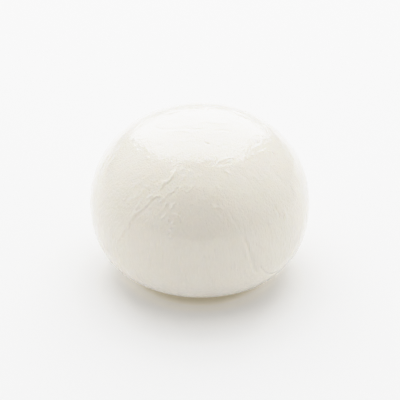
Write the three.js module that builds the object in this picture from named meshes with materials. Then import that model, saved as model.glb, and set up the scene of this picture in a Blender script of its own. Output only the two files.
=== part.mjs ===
// A fresh mozzarella ball: one soft, brine-wet ball of pulled curd that has settled under its
// own weight. Millimetres, +Z up, standing on the plane z = 0, origin under its middle.
// The side with the folded skin faces -Y, and +X is to its right.
import * as THREE from "three";
import { mergeVertices } from "three/addons/utils/BufferGeometryUtils.js";

// Driving dimensions of the body, in millimetres.
const BALL_WIDTH = 65.3; // across its widest level
const WIDEST_LEVEL = 21.95; // height of that level above the table
const CROWN_RISE = 28.35; // from that level up to the crown
const SETTLED = 2.0; // how much of the round underside is pressed flat
const FOOT_BLEND = 0.8; // half height of the soft turn into the flat underside
const FOOT_FLAT = 0.1; // skin that would hang lower than this lies flat on the table

// How full the two halves are: 2 is an ellipse, and more is squarer.
const CROWN_FULLNESS = 2.105;
const BELLY_FULLNESS = 2.285;

// Broad swells and hollows. Places are given as on a globe whose middle is on the widest level:
// longitude from the front (-Y) towards +X, and latitude up from the widest level, in degrees.
// reach is in degrees, rise in millimetres, and a hollow has a negative rise.
const SWELLS = [
  { at: [-78, 8], reach: 30, rise: 0.14 },
  { at: [-48, -22], reach: 24, rise: 0.16 },
  { at: [42, -24], reach: 26, rise: 0.2 },
  { at: [84, 10], reach: 22, rise: -0.16 },
  { at: [4, -34], reach: 20, rise: -0.18 },
  { at: [16, 22], reach: 20, rise: 0.22 },
  { at: [-36, 46], reach: 20, rise: 0.2 },
  { at: [-30, 4], reach: 18, rise: -0.16 },
  { at: [120, 58], reach: 34, rise: 0.3 },
  { at: [-128, 52], reach: 28, rise: -0.22 },
  { at: [172, 14], reach: 34, rise: 0.28 },
  { at: [-142, -14], reach: 26, rise: -0.24 },
  { at: [128, -20], reach: 26, rise: -0.2 },
  { at: [0, -2], reach: 17, rise: 0.35 },
  { at: [50, -46], reach: 18, rise: 0.09 },
  { at: [-50, -46], reach: 18, rise: -0.24 },
  { at: [0, -56], reach: 20, rise: -0.14 },
  { at: [130, 38], reach: 22, rise: -0.2 },
  { at: [-130, 38], reach: 22, rise: 0.34 },
];

// Folds of the skin: a groove along path, with the skin puffed up on its fold side, which is
// seen walking along path from outside. width, depth and puff are in millimetres.
const FOLDS = [
  {
    path: [[-16.5, 46.5], [-19.5, 42], [-22.5, 39], [-24, 36], [-24.5, 34.5]],
    fold: "right", width: 0.85, depth: 0.3, puff: 0.28,
  },
  {
    path: [[-23, 32.5], [-28, 29], [-32, 23.5], [-35.5, 19.5], [-38, 14], [-40.5, 9], [-42, 2]],
    fold: "right", width: 0.85, depth: 0.3, puff: 0.28,
  },
  {
    path: [[-21.5, 45.5], [-17.5, 49], [-11.5, 50], [-3.5, 49]],
    fold: "left", width: 0.8, depth: 0.2, puff: 0.14,
  },
  {
    path: [[-13, 39.5], [-15.5, 36], [-19.5, 32.5]],
    fold: "right", width: 0.8, depth: 0.22, puff: 0.16,
  },
  {
    path: [[15, 27], [18.5, 20], [22.5, 10], [24.5, 3.5], [26, -2.5], [30, -11.5]],
    fold: "right", width: 0.85, depth: 0.26, puff: 0.2,
  },
  {
    path: [[30.5, -5.5], [32.5, -9], [35.5, -13], [40, -16.5], [45.5, -18.5]],
    fold: "left", width: 0.8, depth: 0.24, puff: 0.2,
  },
  {
    path: [[43, 24], [44, 19.5], [44, 15]],
    fold: "right", width: 0.8, depth: 0.24, puff: 0.18,
  },
  {
    path: [[-48, 6.5], [-47, -4.5], [-45.5, -14]],
    fold: "left", width: 0.8, depth: 0.2, puff: 0.14,
  },
];
const FOLD_ENDS = 3.2; // length over which a fold dies away at each end
const PUFF_LENGTH = 2.4; // how far the puffed skin reaches from its groove
const FOLD_STEPS = 12; // straight steps between two points of a path

// Mesh: a subdivided icosahedron whose points crowd towards the folded side.
const MESH_DETAIL = 22;
const CROWDING = 0.72; // spacing at the front against an even spread
const CROWD_CENTRE = [0, 18]; // longitude and latitude

const SKIN = { color: 0xf1eee3, roughness: 0.3, metalness: 0 };

const CENTRE = new THREE.Vector3(0, 0, WIDEST_LEVEL);
const HALF_WIDTH = BALL_WIDTH / 2;
const BELLY_DROP = WIDEST_LEVEL + SETTLED;

// The unit vector towards a longitude and latitude in degrees.
function towards([longitude, latitude]) {
  const turn = THREE.MathUtils.degToRad(longitude);
  const lift = THREE.MathUtils.degToRad(latitude);
  const level = Math.cos(lift);
  return new THREE.Vector3(level * Math.sin(turn), -level * Math.cos(turn), Math.sin(lift));
}

// Half height and fullness of the upper or the lower half of the body.
function halfBelow(height) {
  return height >= 0 ? [CROWN_RISE, CROWN_FULLNESS] : [BELLY_DROP, BELLY_FULLNESS];
}

// The point of the round body in a unit direction from its centre, before it settles.
function bodyPoint(direction) {
  const [rise, fullness] = halfBelow(direction.z);
  const level = Math.hypot(direction.x, direction.y) / HALF_WIDTH;
  const upright = Math.abs(direction.z) / rise;
  const radius = (level ** fullness + upright ** fullness) ** (-1 / fullness);
  return direction.clone().multiplyScalar(radius).add(CENTRE);
}

// The outward unit normal of the round body at one of its points.
function bodyNormal(point) {
  const height = point.z - WIDEST_LEVEL;
  const [rise, fullness] = halfBelow(height);
  const level = Math.hypot(point.x, point.y);
  const out = level ** (fullness - 2) / HALF_WIDTH ** fullness;
  const up = (Math.sign(height) * Math.abs(height) ** (fullness - 1)) / rise ** fullness;
  return new THREE.Vector3(point.x * out, point.y * out, up).normalize();
}

// Height after settling: flat on the table, round above it, with a soft turn between.
function settle(height) {
  if (height > FOOT_BLEND) return height;
  const turned = (Math.max(height, -FOOT_BLEND) + FOOT_BLEND) ** 2 / (4 * FOOT_BLEND);
  return turned < FOOT_FLAT ? 0 : turned;
}

// The rise of all swells at a unit direction.
const swells = SWELLS.map(({ at, reach, rise }) => ({
  middle: towards(at),
  reach: THREE.MathUtils.degToRad(reach),
  rise,
}));
function swellRise(direction) {
  return swells.reduce((sum, { middle, reach, rise }) => {
    return sum + rise * Math.exp(-((direction.angleTo(middle) / reach) ** 2));
  }, 0);
}

// Each fold as a line of points on the body, with the length walked at each point.
const folds = FOLDS.map((fold) => {
  const knots = fold.path.map((place) => bodyPoint(towards(place)));
  const points = new THREE.CatmullRomCurve3(knots).getPoints(FOLD_STEPS * (knots.length - 1));
  const walked = [0];
  for (let i = 1; i < points.length; i++) {
    walked.push(walked[i - 1] + points[i].distanceTo(points[i - 1]));
  }
  return { ...fold, points, walked };
});

// The distance from a point to a fold's line, the length walked there and the side it is on.
function nearestOnFold({ points, walked }, point, normal) {
  const best = { distance: Infinity, walked: 0, side: "left" };
  for (let i = 1; i < points.length; i++) {
    const step = points[i].clone().sub(points[i - 1]);
    const away = point.clone().sub(points[i - 1]);
    const share = THREE.MathUtils.clamp(away.dot(step) / step.lengthSq(), 0, 1);
    away.addScaledVector(step, -share);
    if (away.length() < best.distance) {
      best.distance = away.length();
      best.walked = walked[i - 1] + share * step.length();
      best.side = step.cross(away).dot(normal) > 0 ? "left" : "right";
    }
  }
  return best;
}

// The rise of all folds at a point of the body: down in the groove, up on the fold side.
function foldRise(point, normal) {
  return folds.reduce((sum, fold) => {
    const near = nearestOnFold(fold, point, normal);
    const length = fold.walked[fold.walked.length - 1];
    const ends = THREE.MathUtils.smoothstep(Math.min(near.walked, length - near.walked), 0, FOLD_ENDS);
    const groove = Math.exp(-((near.distance / fold.width) ** 2));
    const onFoldSide = near.side === fold.fold ? 1 : 0;
    const puff = onFoldSide * (1 - groove) * Math.exp(-near.distance / PUFF_LENGTH);
    return sum + ends * (fold.puff * puff - fold.depth * groove);
  }, 0);
}

// Moves a unit direction towards the crowding centre along the sphere.
const crowdCentre = towards(CROWD_CENTRE);
function crowd(direction) {
  const angle = direction.angleTo(crowdCentre);
  const axis = new THREE.Vector3().crossVectors(crowdCentre, direction).normalize();
  const nearer = 2 * Math.atan(CROWDING * Math.tan(angle / 2));
  return crowdCentre.clone().applyAxisAngle(axis, nearer);
}

function mozzarellaBall() {
  const sphere = new THREE.IcosahedronGeometry(1, MESH_DETAIL);
  sphere.deleteAttribute("normal");
  sphere.deleteAttribute("uv");
  const geometry = mergeVertices(sphere);
  const positions = geometry.getAttribute("position");
  for (let i = 0; i < positions.count; i++) {
    const direction = crowd(new THREE.Vector3().fromBufferAttribute(positions, i));
    const point = bodyPoint(direction);
    const normal = bodyNormal(point);
    point.addScaledVector(normal, swellRise(direction) + foldRise(point, normal));
    positions.setXYZ(i, point.x, point.y, settle(point.z));
  }
  geometry.computeBoundingBox();
  const middle = geometry.boundingBox.getCenter(new THREE.Vector3());
  geometry.translate(-middle.x, -middle.y, 0);
  geometry.computeVertexNormals();
  const ball = new THREE.Mesh(geometry, new THREE.MeshStandardMaterial(SKIN));
  ball.name = "mozzarella_ball";
  return ball;
}

const part = new THREE.Group();
part.add(mozzarellaBall());

export default part;
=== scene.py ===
"""A fresh mozzarella ball on a pale table, lit by one big soft light above and behind it.

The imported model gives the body. The ball's skin is modelled here over the same form and along the
same main creases, with finer creases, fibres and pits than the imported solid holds. The soft light
is two panels: one lights the surfaces, and one shows in reflections. Sizes are in millimetres
up to the point where a mesh is made, and places on the ball are longitude and latitude in degrees,
as on a globe whose middle is on the ball's widest level: longitude from the front (-Y) towards +X.
"""

import bpy
import numpy as np
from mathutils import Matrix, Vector


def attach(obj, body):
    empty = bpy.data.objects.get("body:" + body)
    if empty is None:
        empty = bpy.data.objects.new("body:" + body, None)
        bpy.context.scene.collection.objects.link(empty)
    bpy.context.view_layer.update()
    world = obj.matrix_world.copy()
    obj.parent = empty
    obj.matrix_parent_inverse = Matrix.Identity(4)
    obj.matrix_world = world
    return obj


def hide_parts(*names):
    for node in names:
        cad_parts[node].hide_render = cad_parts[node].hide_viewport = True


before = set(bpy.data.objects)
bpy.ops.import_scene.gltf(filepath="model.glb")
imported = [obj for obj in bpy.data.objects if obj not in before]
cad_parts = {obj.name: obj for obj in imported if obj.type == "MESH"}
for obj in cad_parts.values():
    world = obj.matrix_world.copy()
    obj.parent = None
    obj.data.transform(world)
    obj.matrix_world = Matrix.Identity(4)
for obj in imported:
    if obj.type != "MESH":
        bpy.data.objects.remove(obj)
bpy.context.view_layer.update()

MM = 0.001
NODE = "mozzarella_ball"

# The settled body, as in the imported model, where only the foot's edge is sharper.
BALL_WIDTH = 65.3
WIDEST_LEVEL = 21.95
CROWN_RISE = 28.35
SETTLED = 2.0
FOOT_BLEND = 0.8
CROWN_FULLNESS = 2.105
BELLY_FULLNESS = 2.285
HALF_WIDTH = BALL_WIDTH / 2
BELLY_DROP = WIDEST_LEVEL + SETTLED
MIDDLE = (0, 0, WIDEST_LEVEL)

# Broad swells and hollows: place, reach in degrees, rise in millimetres. The last five rises are
# rounded from another program's fit of the outline, as are the body's levels and fullness above.
SWELLS = (
    ((-78, 8), 30, 0.14),
    ((-48, -22), 24, 0.16),
    ((42, -24), 26, 0.2),
    ((84, 10), 22, -0.16),
    ((4, -34), 20, -0.18),
    ((16, 22), 20, 0.22),
    ((-36, 46), 20, 0.2),
    ((-30, 4), 18, -0.16),
    ((120, 58), 34, 0.3),
    ((-128, 52), 28, -0.22),
    ((172, 14), 34, 0.28),
    ((-142, -14), 26, -0.24),
    ((128, -20), 26, -0.2),
    ((0, -2), 17, 0.35),
    ((50, -46), 18, 0.09),
    ((-50, -46), 18, -0.24),
    ((0, -56), 20, -0.14),
    ((130, 38), 22, -0.2),
    ((-130, 38), 22, 0.34),
)

# The places in FOLDS, WRINKLES and SPOTS weren't typed in as they were marked: another program
# turned marked pixels into longitude and latitude, rounded them and wrote these three tables.

# Folds of the skin: the path of the groove, the side that is puffed up (seen walking along the
# path from outside), the groove's half width and depth, and the puff's height and reach.
LEFT, RIGHT = 1, -1
FOLDS = (
    (((-16.5, 46.5), (-17.5, 44.5), (-19.5, 42), (-21, 40), (-22.5, 39), (-23.5, 38), (-24, 36),
      (-24.5, 34.5)),
     RIGHT, 0.36, 0.051, 0.14, 0.9),
    (((-23, 32.5), (-25.5, 31.5), (-27, 30.5), (-28, 29), (-29, 27.5), (-30.5, 25.5), (-32, 23.5),
      (-34, 21.5), (-35.5, 19.5), (-37, 17), (-38, 14), (-39, 11.5), (-40.5, 9), (-41, 6)),
     RIGHT, 0.42, 0.06, 0.11, 1.3),
    (((15, 27), (16, 25), (17, 22.5), (18.5, 20), (20, 16.5), (21.5, 13), (22.5, 10)),
     RIGHT, 0.36, 0.05, 0.02, 1),
    (((21.5, 13), (22.5, 9.5), (24, 5.5), (25, 1.5), (26, -2.5), (27.5, -7), (30, -11.5)),
     RIGHT, 0.55, 0.17, 0.08, 1.4),
    (((30.5, -5.5), (32.5, -9), (35.5, -13), (40, -16.5), (45.5, -18.5)),
     LEFT, 0.5, 0.12, 0.08, 1.5),
    (((-13, 39.5), (-14.5, 37.5), (-15.5, 36), (-17, 35), (-18.5, 33.5), (-19.5, 32.5)),
     RIGHT, 0.36, 0.076, 0.056, 0.9),
    (((-48, 6.5), (-47.5, 1.5), (-47, -4.5), (-46, -8.5), (-45.5, -14)),
     LEFT, 0.5, 0.05, 0.03, 1.3),
    (((43, 24), (43.5, 21.5), (44, 19.5), (44.5, 17.5), (44, 15)), RIGHT, 0.36, 0.16, 0.08, 0.9),
    (((-84.5, 35.5), (-83, 31.5), (-81, 27.5), (-78.5, 24.5)), RIGHT, 0.4, 0.1, 0.1, 1.2),
    (((-14, 7), (-11.5, 6.5), (-9.5, 4.5), (-8, 2.5), (-7.5, -1)), RIGHT, 0.36, 0.05, 0.03, 1),
)
FOLD_ENDS = 1.4  # length over which a fold dies away at each end
CREST_PLACE = 1.4  # the crest's distance from the groove, in half widths
PUFF_SHARE = 0.4  # the puffed skin's height against the crest's
FOLD_SPAN = 4  # how far from its groove a fold is worked out, in puff reaches
LINE_STEPS = 12  # straight steps between two places of a path

# Lone wrinkles: the path, the half width, and the height, which is negative for a groove.
WRINKLE_SPAN = 3  # how far from its line a wrinkle is worked out, in half widths
WRINKLES = (
    (((-19.5, 83.5), (36.5, 84), (59, 78.5), (77, 73.5)), 0.32, 0.2),
    (((26, 74.5), (46.5, 72.5), (57.5, 67.5)), 0.32, -0.18),
    (((94, 42), (89.5, 37.5), (84.5, 33), (80, 28.5)), 0.4, 0.12),
    (((111, 49), (102.5, 45.5), (97, 40)), 0.4, -0.1),
    (((-81.5, 40), (-79, 34.5), (-75.5, 29.5)), 0.4, -0.1),
    (((-101, 44.5), (-95, 41), (-89, 37)), 0.45, 0.12),
    (((-21.5, 45.5), (-20, 47), (-17.5, 49), (-14.5, 50), (-11.5, 50), (-7.5, 49.5), (-3.5, 49),
      (0, 49.5)),
     0.4, -0.038),
    (((-17.5, 49), (-19, 47), (-20, 45.5), (-20.5, 44), (-21, 42.5)), 0.4, 0.13),
    (((-21.5, 41.5), (-23, 41), (-24.5, 40), (-25, 39), (-25, 37.5)), 0.45, 0.15),
    (((-29, 34.5), (-28.5, 33)), 0.32, 0.11),
    (((-28, 33), (-29, 32), (-30.5, 31), (-31.5, 29.5)), 0.42, 0.15),
    (((-35, 27.5), (-35.5, 25.5), (-36.5, 23), (-37.5, 21), (-38, 18.5), (-39, 16)), 0.42, 0.11),
    (((-39, 15), (-41, 12), (-42.5, 8.5), (-44, 5), (-45.5, 0)), 0.55, 0.1),
    (((-33.5, 25.5), (-35, 23.5), (-36.5, 21.5)), 0.32, -0.053),
    (((-37, 39), (-39.5, 37), (-42.5, 34), (-45, 31)), 0.5, 0.083),
    (((-37, 35.5), (-34.5, 35.5), (-31.5, 35.5)), 0.38, 0.098),
    (((-37.5, 31.5), (-35.5, 33), (-33, 34)), 0.38, 0.098),
    (((-35.5, 31.5), (-38, 29.5), (-40, 27.5), (-41.5, 26), (-43, 23.5)), 0.42, 0.11),
    (((-31.5, 33), (-32.5, 31), (-34, 28.5)), 0.36, -0.045),
    (((-29.5, 39.5), (-29.5, 37.5), (-29.5, 35.5)), 0.34, 0.045),
    (((-21, 33.5), (-22, 31.5), (-23, 29.5)), 0.36, 0.098),
    (((-18, 31.5), (-19.5, 29.5), (-20, 27.5), (-20.5, 26)), 0.38, 0.17),
    (((-15, 31), (-16, 28.5), (-16.5, 26.5)), 0.36, 0.15),
    (((-16, 24.5), (-14, 25.5), (-12, 25), (-10.5, 23.5), (-11, 22)), 0.38, 0.19),
    (((-18.5, 25), (-20, 23), (-21.5, 21.5)), 0.36, 0.15),
    (((-16.5, 24), (-17, 22), (-16.5, 20.5)), 0.36, 0.15),
    (((-14.5, 22), (-14, 20)), 0.36, 0.14),
    (((-19, 21), (-18.5, 18), (-18, 15), (-17.5, 12.5)), 0.45, -0.075),
    (((25.5, 11), (25, 8), (26, 4)), 0.4, 0.06),
    (((38, -3.5), (37.5, -6.5), (37.5, -9.5)), 0.36, -0.08),
    (((48, 18.5), (49, 16.5), (49, 14.5), (48.5, 12.5)), 0.5, 0.18),
    (((49, 12.5), (47.5, 11), (46.5, 9)), 0.36, -0.08),
    (((13.5, 24), (14, 21.5), (14, 18)), 0.34, -0.06),
    (((7, 0.5), (6.5, -4), (6.5, -9.5)), 0.45, -0.08),
    (((14.5, -0.5), (15, -5)), 0.4, -0.08),
    (((1, -7.5), (1, -12)), 0.36, -0.09),
    (((1.5, 7), (1.5, 3.5)), 0.36, -0.08),
    (((-27.5, 7.5), (-26, 6), (-24.5, 5)), 0.4, -0.075),
    (((-54, 38), (-58, 33), (-61.5, 27.5)), 0.4, 0.06),
    (((-61, 44.5), (-64.5, 39), (-67, 33.5)), 0.36, 0.06),
    (((59.5, 31.5), (57.5, 28), (58, 25)), 0.36, -0.06),
    (((60.5, 28), (61, 23.5), (60, 19)), 0.36, -0.08),
    (((56, 7), (53.5, 2.5), (50.5, -1.5)), 0.4, -0.06),
    (((-44, 76), (-15.5, 77.5), (19, 77.5)), 0.32, -0.22),
    (((-58, 68.5), (-38.5, 73.5), (-10, 74)), 0.32, 0.2),
    (((-90.5, 62.5), (-73, 66), (-53, 72.5)), 0.32, -0.2),
    (((4.5, 67), (14.5, 63.5)), 0.32, -0.18),
    (((57.5, 65), (38.5, 62.5)), 0.36, -0.06),
    (((163, 74.5), (157, 83)), 0.34, -0.14),
    (((-119, 62), (-126, 67), (-136, 71.5), (-154.5, 75.5)), 0.4, 0.1),
    (((134, 68.5), (128.5, 65), (114.5, 62.5)), 0.4, 0.1),
    (((-93.5, 49), (-101.5, 52), (-108, 56), (-116, 60.5)), 0.45, 0.11),
    (((-62.5, 53.5), (-53, 52.5), (-45, 50)), 0.36, 0.08),
    (((19, 48), (21, 45.5), (23.5, 44.5)), 0.36, 0.12),
)

# Pits and pimples: place, half width and height.
SPOTS = (
    ((-3.5, 44.5), 0.47, 0.11),
    ((-0.5, 45.5), 0.44, 0.09),
    ((-5.5, 47), 0.44, 0.09),
    ((-8.5, 40), 0.44, 0.098),
    ((-12.5, 44.5), 0.42, 0.09),
    ((-15.5, 18), 0.42, 0.15),
    ((-15, 14.5), 0.52, 0.17),
    ((-6, 14), 0.39, 0.098),
    ((7.5, 29.5), 0.39, 0.11),
    ((10, 29), 0.39, 0.11),
    ((11.5, 26), 0.34, 0.098),
    ((11.5, 28.5), 0.31, 0.083),
    ((7, 14.5), 0.42, 0.11),
    ((9.5, 17), 0.42, 0.11),
    ((16.5, 11), 0.52, 0.11),
    ((37.5, 15.5), 0.52, 0.14),
    ((28, 33), 0.59, 0.13),
    ((-25, 32.5), 0.44, 0.13),
    ((-36, 21.5), 0.39, 0.13),
    ((77.5, 38), 0.39, 0.17),
    ((83.5, 33.5), 0.4, 0.17),
    ((68.5, 44.5), 0.39, 0.17),
    ((66, 46.5), 0.39, 0.16),
    ((60.5, 48.5), 0.4, 0.16),
    ((42.5, 50), 0.42, 0.14),
    ((41, 51.5), 0.38, 0.14),
    ((49, 50.5), 0.39, 0.15),
    ((62, 52.5), 0.4, 0.14),
    ((-78, 51), 0.47, 0.18),
    ((-62, 49), 0.42, 0.15),
    ((-46.5, 49), 0.44, 0.17),
    ((-69.5, 49), 0.39, 0.15),
)

# The skin's grain runs along these short lines and smoothly between them. About a dozen of them
# are ends of creases whose places another program had worked out, rounded.
GRAIN = (
    ((-12, 53), (-24, 37)),
    ((-28, 33), (-38, 17)),
    ((-41, 11), (-43, 1)),
    ((-37, 39), (-45, 30)),
    ((-57, 38), (-62, 29)),
    ((-60, 45), (-67, 35)),
    ((-82, 34), (-78, 28)),
    ((-62, 22), (-64, 8)),
    ((-80, 12), (-80, -4)),
    ((-46, -4), (-46, -16)),
    ((-25, 22), (-27, 8)),
    ((-10, -12), (-10, -32)),
    ((0, 24), (0, 4)),
    ((14, 31), (19, 19)),
    ((20, 14), (29, -7)),
    ((34, 34), (40, 22)),
    ((31, -5), (45, -18)),
    ((44, 24), (46, 12)),
    ((60, 32), (60, 20)),
    ((55, 7), (52, -6)),
    ((80, 20), (78, 0)),
    ((10, -20), (12, -40)),
    ((-25, 76), (25, 76)),
    ((-45, 60), (-75, 60)),
    ((45, 60), (75, 60)),
    ((-96, 51), (-114, 63)),
    ((96, 51), (114, 63)),
    ((-120, 40), (-124, 10)),
    ((120, 40), (124, 10)),
    ((160, 50), (166, 20)),
    ((-160, 50), (-166, 20)),
    ((180, -10), (180, -30)),
    ((110, -15), (112, -35)),
    ((-110, -15), (-112, -35)),
)
GRAIN_REACH = 18  # how far a line's direction carries, in degrees
ACROSS_HINT = (0.3, 0.2, 0.93)  # any direction that is not a normal of the skin's front

# Fibres in the skin: seeded strokes along the grain. Each kind has its number, its range of
# lengths and of half widths, and the usual height of a stroke, which may rise or sink.
FIBRES = (
    (2600, (3, 9), (0.18, 0.32), 0.03),
    (600, (4, 11), (0.35, 0.7), 0.035),
    (120, (6, 14), (0.9, 1.8), 0.045),
)
FIBRE_STEP = 0.8
FIBRE_WANDER = 0.3  # how much a fibre's direction strays from the grain at each step
FIBRE_SPAN = 2.5  # how far from its line a fibre is worked out, in half widths
LOWEST_FIBRE = -60  # latitude
SEED = 7

# The finest relief, too small for the mesh: waves, pits and upright streaks, each with its size and
# depth, and how much longer than wide it is. The waves are in the wet film over the skin, which
# shows only a share of the other two.
WAVES = (0.85, 0.08, 2)
PITS = (0.45, 0.02, 1)
STREAKS = (0.36, 0.15, 6)
FILM_SHARE = 0.25

MESH_STEPS = 128  # squares along each edge of the cube that the ball's mesh starts from
CROWDING = 0.54  # spacing at the front against an even spread
CROWD_CENTRE = (0, 18)
TINY = 1e-6  # keeps a length or a weight from being nothing


def towards(places):
    """Unit vectors towards longitudes and latitudes in degrees."""
    turn, lift = np.radians(np.asarray(places, float)).T
    return np.stack([np.cos(lift) * np.sin(turn), -np.cos(lift) * np.cos(turn), np.sin(lift)], axis=-1)


def body_points(directions):
    """Points of the round body, before it settles, in unit directions from its middle."""
    upper = directions[:, 2] >= 0
    rise = np.where(upper, CROWN_RISE, BELLY_DROP)
    fullness = np.where(upper, CROWN_FULLNESS, BELLY_FULLNESS)
    level = np.hypot(directions[:, 0], directions[:, 1]) / HALF_WIDTH
    upright = np.abs(directions[:, 2]) / rise
    radius = (level**fullness + upright**fullness) ** (-1 / fullness)
    return directions * radius[:, None] + MIDDLE


def body_normals(points):
    """Outward unit normals of the round body at its points."""
    height = points[:, 2] - WIDEST_LEVEL
    upper = height >= 0
    rise = np.where(upper, CROWN_RISE, BELLY_DROP)
    fullness = np.where(upper, CROWN_FULLNESS, BELLY_FULLNESS)
    level = np.maximum(np.hypot(points[:, 0], points[:, 1]), TINY)
    out = level ** (fullness - 2) / HALF_WIDTH**fullness
    up = np.sign(height) * np.abs(height) ** (fullness - 1) / rise**fullness
    normals = np.stack([points[:, 0] * out, points[:, 1] * out, up], axis=-1)
    return normals / np.linalg.norm(normals, axis=1, keepdims=True)


def settle(heights):
    """Heights after settling: flat on the table, round above it, with a soft turn between."""
    turn = (heights + FOOT_BLEND) ** 2 / (4 * FOOT_BLEND)
    return np.where(heights > FOOT_BLEND, heights, np.where(heights < -FOOT_BLEND, 0, turn))


def smooth_step(low, high, values):
    """0 up to low, 1 from high on, and a soft climb between."""
    share = np.clip((values - low) / (high - low), 0, 1)
    return share * share * (3 - 2 * share)


def swell_rise(directions):
    """The rise of all swells and hollows in unit directions from the middle."""
    rise = np.zeros(len(directions))
    for place, reach, height in SWELLS:
        angle = np.degrees(np.arccos(np.clip(directions @ towards([place])[0], -1, 1)))
        rise += height * np.exp(-((angle / reach) ** 2))
    return rise


def smooth_line(knots, steps):
    """A smooth line through the knots, with that many steps between two of them."""
    padded = np.vstack([2 * knots[0] - knots[1], knots, 2 * knots[-1] - knots[-2]])
    share = np.linspace(0, 1, steps, endpoint=False)[:, None]
    stretches = []
    for a, b, c, d in zip(padded, padded[1:], padded[2:], padded[3:]):
        stretches.append(
            0.5 * (2 * b + (c - a) * share + (2 * a - 5 * b + 4 * c - d) * share**2
                   + (3 * b - a - 3 * c + d) * share**3)
        )
    return np.vstack(stretches + [knots[-1:]])


def near_line(points, line, reach):
    """Which points are within reach of a line, and there: distance, length walked and total
    length, and the offset from the line."""
    middle = line.mean(axis=0)
    radius = np.linalg.norm(line - middle, axis=1).max() + reach
    picked = np.flatnonzero(((points - middle) ** 2).sum(axis=1) < radius**2)
    steps = np.diff(line, axis=0)
    lengths = np.linalg.norm(steps, axis=1)
    away = points[picked, None] - line[None, :-1]
    share = np.clip((away * steps).sum(axis=2) / lengths**2, 0, 1)
    away -= share[..., None] * steps
    gaps = np.linalg.norm(away, axis=2)
    best = gaps.argmin(axis=1)
    rows = np.arange(len(picked))
    start = np.concatenate([[0], np.cumsum(lengths)])
    walked = start[best] + share[rows, best] * lengths[best]
    return picked, gaps[rows, best], walked, start[-1], np.cross(steps[best], away[rows, best])


def fold_rise(points, normals):
    """The rise of the folds: down in the groove, up to a crest beside it, and slowly down again."""
    rise = np.zeros(len(points))
    for path, side, width, depth, crest, reach in FOLDS:
        line = smooth_line(body_points(towards(path)), LINE_STEPS)
        picked, gap, walked, length, turn = near_line(points, line, FOLD_SPAN * reach)
        ends = smooth_step(0, FOLD_ENDS, np.minimum(walked, length - walked))
        aside = gap * np.sign((turn * normals[picked]).sum(axis=1)) * side
        groove = np.exp(-((gap / width) ** 2))
        ridge = np.exp(-(((aside - CREST_PLACE * width) / width) ** 2))
        swell = smooth_step(0, CREST_PLACE * width, aside) * np.exp(-gap / reach)
        rise[picked] += ends * (crest * (ridge + PUFF_SHARE * swell) - depth * groove)
    return rise


def wrinkle_rise(points):
    """The rise of the lone wrinkles and the spots."""
    rise = np.zeros(len(points))
    for path, width, height in WRINKLES:
        line = smooth_line(body_points(towards(path)), LINE_STEPS)
        picked, gap, walked, length, _ = near_line(points, line, WRINKLE_SPAN * width)
        rise[picked] += height * np.sin(np.pi * walked / length) * np.exp(-((gap / width) ** 2))
    for place, width, height in SPOTS:
        gap = np.linalg.norm(points - body_points(towards([place])), axis=1)
        rise += height * np.exp(-((gap / width) ** 2))
    return rise


def grain_directions(points, ahead):
    """Unit directions of the grain on the body, on the same side as ahead."""
    ends = body_points(towards(np.reshape(GRAIN, (-1, 2)))).reshape(-1, 2, 3)
    lines = ends[:, 1] - ends[:, 0]
    lines /= np.linalg.norm(lines, axis=1, keepdims=True)
    middles = ends.mean(axis=1) - MIDDLE
    middles /= np.linalg.norm(middles, axis=1, keepdims=True)
    outward = points - MIDDLE
    outward /= np.linalg.norm(outward, axis=1, keepdims=True)
    angles = np.degrees(np.arccos(np.clip(outward @ middles.T, -1, 1)))
    weights = np.exp(-((angles / GRAIN_REACH) ** 2)) + TINY
    normals = body_normals(points)
    across = np.cross(normals, ACROSS_HINT)
    across /= np.linalg.norm(across, axis=1, keepdims=True)
    along = np.cross(normals, across)
    first, second = across @ lines.T, along @ lines.T
    turn = 0.5 * np.arctan2(
        (2 * weights * first * second).sum(axis=1), (weights * (first**2 - second**2)).sum(axis=1)
    )
    grain = np.cos(turn)[:, None] * across + np.sin(turn)[:, None] * along
    return grain * np.where((grain * ahead).sum(axis=1) < 0, -1, 1)[:, None]


def fibre_rise(points):
    """The rise of the fibres, each a thin ridge or groove that follows the grain."""
    draw = np.random.default_rng(SEED)
    rise = np.zeros(len(points))
    for number, lengths, widths, height in FIBRES:
        turns = draw.uniform(-180, 180, number)
        lifts = np.degrees(np.arcsin(draw.uniform(np.sin(np.radians(LOWEST_FIBRE)), 1, number)))
        place = body_points(towards(np.stack([turns, lifts], axis=1)))
        length = draw.uniform(*lengths, number)
        width = draw.uniform(*widths, number)
        strength = height * draw.normal(size=number)
        ahead = np.zeros((number, 3))
        trail = [place]
        for _ in range(int(lengths[1] / FIBRE_STEP)):
            ahead = grain_directions(place, ahead) + FIBRE_WANDER * draw.normal(size=(number, 3))
            place = place + FIBRE_STEP * ahead
            place = body_points((place - MIDDLE) / HALF_WIDTH)
            trail.append(place)
        trail = np.stack(trail, axis=1)
        for i in range(number):
            line = trail[i, : 2 + int(length[i] / FIBRE_STEP)]
            picked, gap, walked, total, _ = near_line(points, line, FIBRE_SPAN * width[i])
            ends = np.sin(np.pi * walked / total) ** 2
            rise[picked] += strength[i] * ends * np.exp(-((gap / width[i]) ** 2))
    return rise


def cube_lattice(steps):
    """Whole-number points on the surface of a cube, and its squares, facing out."""
    corners = []
    row, column = np.meshgrid(np.arange(steps), np.arange(steps), indexing="ij")
    for axis in range(3):
        for side in (0, steps):
            square = []
            for down, across in ((0, 0), (1, 0), (1, 1), (0, 1)):
                corner = np.zeros((steps, steps, 3), int)
                corner[..., axis] = side
                corner[..., (axis + 1) % 3] = row + down
                corner[..., (axis + 2) % 3] = column + across
                square.append(corner.reshape(-1, 3))
            corners.append(np.stack(square if side else square[::-1], axis=1))
    lattice, index = np.unique(np.concatenate(corners).reshape(-1, 3), axis=0, return_inverse=True)
    return lattice, index.reshape(-1, 4)


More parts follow.
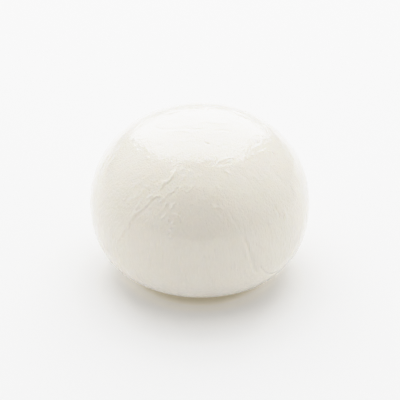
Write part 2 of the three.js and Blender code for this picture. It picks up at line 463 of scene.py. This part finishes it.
def crowded(directions):
    """Directions moved along the sphere towards the crowding centre, where detail is finest."""
    centre = towards([CROWD_CENTRE])[0]
    along = directions @ centre
    aside = directions - along[:, None] * centre
    aside /= np.maximum(np.linalg.norm(aside, axis=1, keepdims=True), TINY)
    angle = 2 * np.arctan(CROWDING * np.tan(np.arccos(np.clip(along, -1, 1)) / 2))
    return np.cos(angle)[:, None] * centre + np.sin(angle)[:, None] * aside


def make_skin():
    """The ball's mesh: an even cube sphere, crowded to the front and moved to the modelled skin."""
    lattice, squares = cube_lattice(MESH_STEPS)
    cube = np.tan((lattice / MESH_STEPS - 0.5) * (np.pi / 2))
    directions = crowded(cube / np.linalg.norm(cube, axis=1, keepdims=True))
    points = body_points(directions)
    normals = body_normals(points)
    rise = swell_rise(directions) + fold_rise(points, normals)
    rise = rise + wrinkle_rise(points) + fibre_rise(points)
    points = points + rise[:, None] * normals
    points[:, 2] = settle(points[:, 2])
    low, high = points.min(axis=0), points.max(axis=0)
    points[:, :2] -= (low[:2] + high[:2]) / 2
    mesh = bpy.data.meshes.new("mozzarella_skin")
    mesh.from_pydata((points * MM).tolist(), [], squares.tolist())
    mesh.shade_smooth()
    mesh.validate()
    skin = bpy.data.objects.new("mozzarella_skin", mesh)
    bpy.context.collection.objects.link(skin)
    return skin


# The wet cheese: the colours of its grooves and ridges, partly its own tone and partly painted
# shade in the grooves and painted light on the ridges, its dull skin, the light that passes
# through it, and the clear film of brine over it.
GROOVE_TONE_AND_SHADE = (0.77, 0.73, 0.647, 1)
RIDGE_TONE_AND_LIGHT = (0.82, 0.78, 0.703, 1)
SKIN_ROUGHNESS = 0.5
INNER_SHARE = 0.4
INNER_COLOUR = (1.0, 0.8, 0.5)
INNER_REACH = 4
FILM_INDEX = 1.6
FILM_ROUGHNESS = 0.04

# The table: its colour, the painted shadow that darkens it round the ball's foot and the painted
# warm glow that the table itself gives off there, with how far from the middle each starts to
# fade and where it ends.
TABLE_SIZE = 6  # metres
TABLE_COLOUR = (0.92, 0.92, 0.92, 1)
FOOT_SHADE_COLOUR = (0.75, 0.71, 0.6, 1)
FOOT_SHADE_REACH = (19, 22.5)
PAINTED_GLOW_COLOUR = (1, 0.88, 0.64, 1)
PAINTED_GLOW_REACH = (22, 27)
PAINTED_FOOT_GLOW = 0.12


def blend(nodes, first, second):
    """A node that mixes two colours."""
    mix = nodes.new("ShaderNodeMix")
    mix.data_type = "RGBA"
    mix.inputs["A"].default_value = first
    mix.inputs["B"].default_value = second
    return mix


def soft_range(nodes, start, end, low, high):
    """A node that softly turns values between start and end into values between low and high."""
    fade = nodes.new("ShaderNodeMapRange")
    fade.interpolation_type = "SMOOTHSTEP"
    limits = {"From Min": start, "From Max": end, "To Min": low, "To Max": high}
    for name, number in limits.items():
        fade.inputs[name].default_value = number
    return fade


def cheese_material():
    """Pale skin with faint darker streaks, partly its own tone and partly painted shade in their
    grooves with painted light on their ridges, under a clear wet film.
    """
    material = bpy.data.materials.new("wet_cheese")
    material.use_nodes = True
    nodes, links = material.node_tree.nodes, material.node_tree.links
    shader = nodes["Principled BSDF"]
    shader.inputs["Roughness"].default_value = SKIN_ROUGHNESS
    shader.inputs["Specular IOR Level"].default_value = 0.0
    shader.inputs["Subsurface Weight"].default_value = INNER_SHARE
    shader.inputs["Subsurface Radius"].default_value = INNER_COLOUR
    shader.inputs["Subsurface Scale"].default_value = INNER_REACH * MM
    shader.inputs["Coat Weight"].default_value = 1.0
    shader.inputs["Coat IOR"].default_value = FILM_INDEX
    shader.inputs["Coat Roughness"].default_value = FILM_ROUGHNESS
    place = nodes.new("ShaderNodeTexCoord").outputs["Object"]

    def relief(size, depth, length):
        stretch = nodes.new("ShaderNodeVectorMath")
        stretch.operation = "MULTIPLY"
        stretch.inputs[1].default_value = (1, 1, 1 / length)
        noise = nodes.new("ShaderNodeTexNoise")
        noise.inputs["Scale"].default_value = 1 / (size * MM)
        noise.inputs["Detail"].default_value = 1.0
        links.new(place, stretch.inputs[0])
        links.new(stretch.outputs["Vector"], noise.inputs["Vector"])
        return noise.outputs["Fac"], depth

    def bumped(normal, share, relief):
        height, depth = relief
        bump = nodes.new("ShaderNodeBump")
        bump.inputs["Distance"].default_value = share * depth * MM
        links.new(height, bump.inputs["Height"])
        if normal:
            links.new(normal, bump.inputs["Normal"])
        return bump.outputs["Normal"]

    fine = [relief(*PITS), relief(*STREAKS)]
    waves = bumped(None, 1, relief(*WAVES))
    for socket, normal, share in (("Normal", None, 1), ("Coat Normal", waves, FILM_SHARE)):
        for kind in fine:
            normal = bumped(normal, share, kind)
        links.new(normal, shader.inputs[socket])
    # The base colour follows the streaks' relief: darker in their grooves, lighter on their ridges,
    # partly the skin's own tone and partly painted shade and painted light.
    tone_and_shade = blend(nodes, GROOVE_TONE_AND_SHADE, RIDGE_TONE_AND_LIGHT)
    links.new(fine[-1][0], tone_and_shade.inputs["Factor"])
    links.new(tone_and_shade.outputs["Result"], shader.inputs["Base Color"])
    return material


def table_material():
    """A pale matt table with a painted warm shadow round the ball's foot, and there a painted warm
    glow that the table gives off itself, in place of light that real cheese lets through."""
    material = bpy.data.materials.new("pale_table")
    material.use_nodes = True
    nodes, links = material.node_tree.nodes, material.node_tree.links
    shader = nodes["Principled BSDF"]
    shader.inputs["Roughness"].default_value = 1.0
    shader.inputs["Specular IOR Level"].default_value = 0.0
    place = nodes.new("ShaderNodeTexCoord").outputs["Object"]

    def faded(reach, start, end):
        length = nodes.new("ShaderNodeVectorMath")
        length.operation = "LENGTH"
        inner, outer = reach
        fade = soft_range(nodes, inner * MM, outer * MM, start, end)
        links.new(place, length.inputs[0])
        links.new(length.outputs["Value"], fade.inputs["Value"])
        return fade.outputs["Result"]

    # Painted light: the table itself glows warm round the ball's foot.
    links.new(faded(PAINTED_GLOW_REACH, PAINTED_FOOT_GLOW, 0), shader.inputs["Emission Strength"])
    shader.inputs["Emission Color"].default_value = PAINTED_GLOW_COLOUR
    # Painted shadow: the table's colour turns darker and warmer round the ball's foot.
    foot_shade = blend(nodes, FOOT_SHADE_COLOUR, TABLE_COLOUR)
    links.new(faded(FOOT_SHADE_REACH, 0, 1), foot_shade.inputs["Factor"])
    links.new(foot_shade.outputs["Result"], shader.inputs["Base Color"])
    return material


def make_table():
    bpy.ops.mesh.primitive_plane_add(size=TABLE_SIZE)
    table = bpy.context.object
    table.name = "table"
    table.data.materials.append(table_material())


# Camera: its lens, how steeply it looks down, how far off it stands and the point it looks at.
# The distance and the point are rounded from the fit of the outline.
CAMERA_LENS = 100
SENSOR_WIDTH = 36
CLIP_START = 0.01  # metres
LOOK_DOWN = 32
CAMERA_DISTANCE = 331.6
CAMERA_AIM = (0.05, 0, 22.76)

# The soft light: a big square panel above and behind the ball, and how high it faces. Its mirror
# image in the wet skin has a brightness of its own.
PANEL_TILT = 40
PANEL_DISTANCE = 600
PANEL_WIDTH = 830
PANEL_LENGTH = 975
PANEL_SHIFT = -112  # how far it is slid down and back from straight in line
PANEL_RADIANCE = 1.42
MIRRORED_RADIANCE = 3.0
MIRRORED_DISTANCE = 610
MIRRORED_WIDTH = 790
MIRRORED_LENGTH = 925
MIRRORED_SHIFT = -137

# The pale room round the table: even light, and broad glows, each with its place in the sky, its
# reach in degrees and its strength.
ROOM_LIGHT = 0.345
GLOWS = (
    ((84, 35), 60, 0.7),
    ((-84, 35), 60, 0.7),
    ((122, 15), 45, 0.15),
    ((-122, 15), 45, 0.2),
    ((0, 90), 70, 0.34),
    ((0, 70), 30, 0.4),
    ((180, 10), 60, 0.05),
)

# The dark opening that the camera looks through. An edge is given by the middle of the half of
# the sky that it leaves open.
OPENING_EDGES = ((53, 0), (-56, 0), (0, -32))
OPENING_BLUR = 0.065
OPENING_LIGHT = 0.24

# The camera's tone curve: straight up to a start, and bent over to a top above it.
TONE_START = 0.72
TONE_TOP = 0.96
TONE_WHITE = 4.0
TONE_STEPS = 24


def look_from(thing, climb, distance, aim, behind):
    """Stands a camera or light off from aim, climbing by that angle, and turns it to aim."""
    turn = 180 if behind else 0
    away = Vector(towards([(turn, climb)])[0])
    thing.location = (Vector(aim) + away * distance) * MM
    thing.rotation_euler = away.to_track_quat("Z", "Y").to_euler()


def make_camera():
    data = bpy.data.cameras.new("camera")
    data.lens = CAMERA_LENS
    data.sensor_width = SENSOR_WIDTH
    data.clip_start = CLIP_START
    camera = bpy.data.objects.new("camera", data)
    bpy.context.collection.objects.link(camera)
    look_from(camera, LOOK_DOWN, CAMERA_DISTANCE, CAMERA_AIM, behind=False)
    bpy.context.scene.camera = camera


def make_light(name, radiance, distance, width, length, shift):
    data = bpy.data.lights.new(name, "AREA")
    data.shape = "RECTANGLE"
    data.size = width * MM
    data.size_y = length * MM
    data.energy = radiance * data.size * data.size_y * np.pi
    light = bpy.data.objects.new(name, data)
    bpy.context.collection.objects.link(light)
    look_from(light, PANEL_TILT, distance, MIDDLE, behind=True)
    tilt = np.radians(PANEL_TILT)
    light.location += Vector((0, np.sin(tilt), -np.cos(tilt))) * shift * MM
    return light


def make_world():
    """The pale room, as a sky that is only seen in reflections and past the table's edge."""
    world = bpy.data.worlds.new("pale_room")
    bpy.context.scene.world = world
    world.use_nodes = True
    nodes, links = world.node_tree.nodes, world.node_tree.links

    def combine(operation, first, second):
        node = nodes.new("ShaderNodeMath")
        node.operation = operation
        for socket, value in zip(node.inputs, (first, second)):
            if isinstance(value, float):
                socket.default_value = value
            else:
                links.new(value, socket)
        return node.outputs[0]

    def ramp(value, start, end, low, high):
        fade = soft_range(nodes, start, end, low, high)
        links.new(value, fade.inputs["Value"])
        return fade.outputs["Result"]

    def facing(place):
        dot = nodes.new("ShaderNodeVectorMath")
        dot.operation = "DOT_PRODUCT"
        dot.inputs[1].default_value = towards([place])[0]
        links.new(direction, dot.inputs[0])
        return dot.outputs["Value"]

    direction = nodes.new("ShaderNodeTexCoord").outputs["Generated"]
    total = ROOM_LIGHT
    for place, reach, glow in GLOWS:
        total = combine("ADD", total, ramp(facing(place), np.cos(np.radians(reach)), 1, 0, glow))
    opening = 1.0
    for edge in OPENING_EDGES:
        opening = combine("MULTIPLY", opening, ramp(facing(edge), -OPENING_BLUR, OPENING_BLUR, 0, 1))
    seen = nodes.new("ShaderNodeMix")
    links.new(opening, seen.inputs["Factor"])
    links.new(total, seen.inputs["A"])
    seen.inputs["B"].default_value = OPENING_LIGHT
    links.new(seen.outputs["Result"], nodes["Background"].inputs["Strength"])
    nodes["Background"].inputs["Color"].default_value = (1, 1, 1, 1)


def set_tone():
    """A soft shoulder, so that the pale table and the highlight keep their shades."""
    settings = bpy.context.scene.view_settings
    settings.view_transform = "Standard"
    settings.use_curve_mapping = True
    mapping = settings.curve_mapping
    mapping.white_level = (TONE_WHITE,) * 3
    curve = mapping.curves[3]
    shades = np.linspace(TONE_START, TONE_WHITE, TONE_STEPS)
    room = TONE_TOP - TONE_START
    bent = TONE_TOP - room * np.exp(-(shades - TONE_START) / room)
    curve.points[0].location = (0, 0)
    curve.points[1].location = (1, bent[-1])
    for shade, value in zip(shades[:-1], bent[:-1]):
        curve.points.new(shade / TONE_WHITE, value)
    for point in curve.points:
        point.handle_type = "VECTOR"
    mapping.update()


skin = make_skin()
skin.data.materials.append(cheese_material())
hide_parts(NODE)
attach(skin, "root")

make_table()
make_camera()
soft = make_light(
    "soft_light", PANEL_RADIANCE, PANEL_DISTANCE, PANEL_WIDTH, PANEL_LENGTH, PANEL_SHIFT
)
soft.visible_glossy = False
mirrored = make_light(
    "mirrored_light",
    MIRRORED_RADIANCE,
    MIRRORED_DISTANCE,
    MIRRORED_WIDTH,
    MIRRORED_LENGTH,
    MIRRORED_SHIFT,
)
mirrored.visible_diffuse = False
make_world()
set_tone()
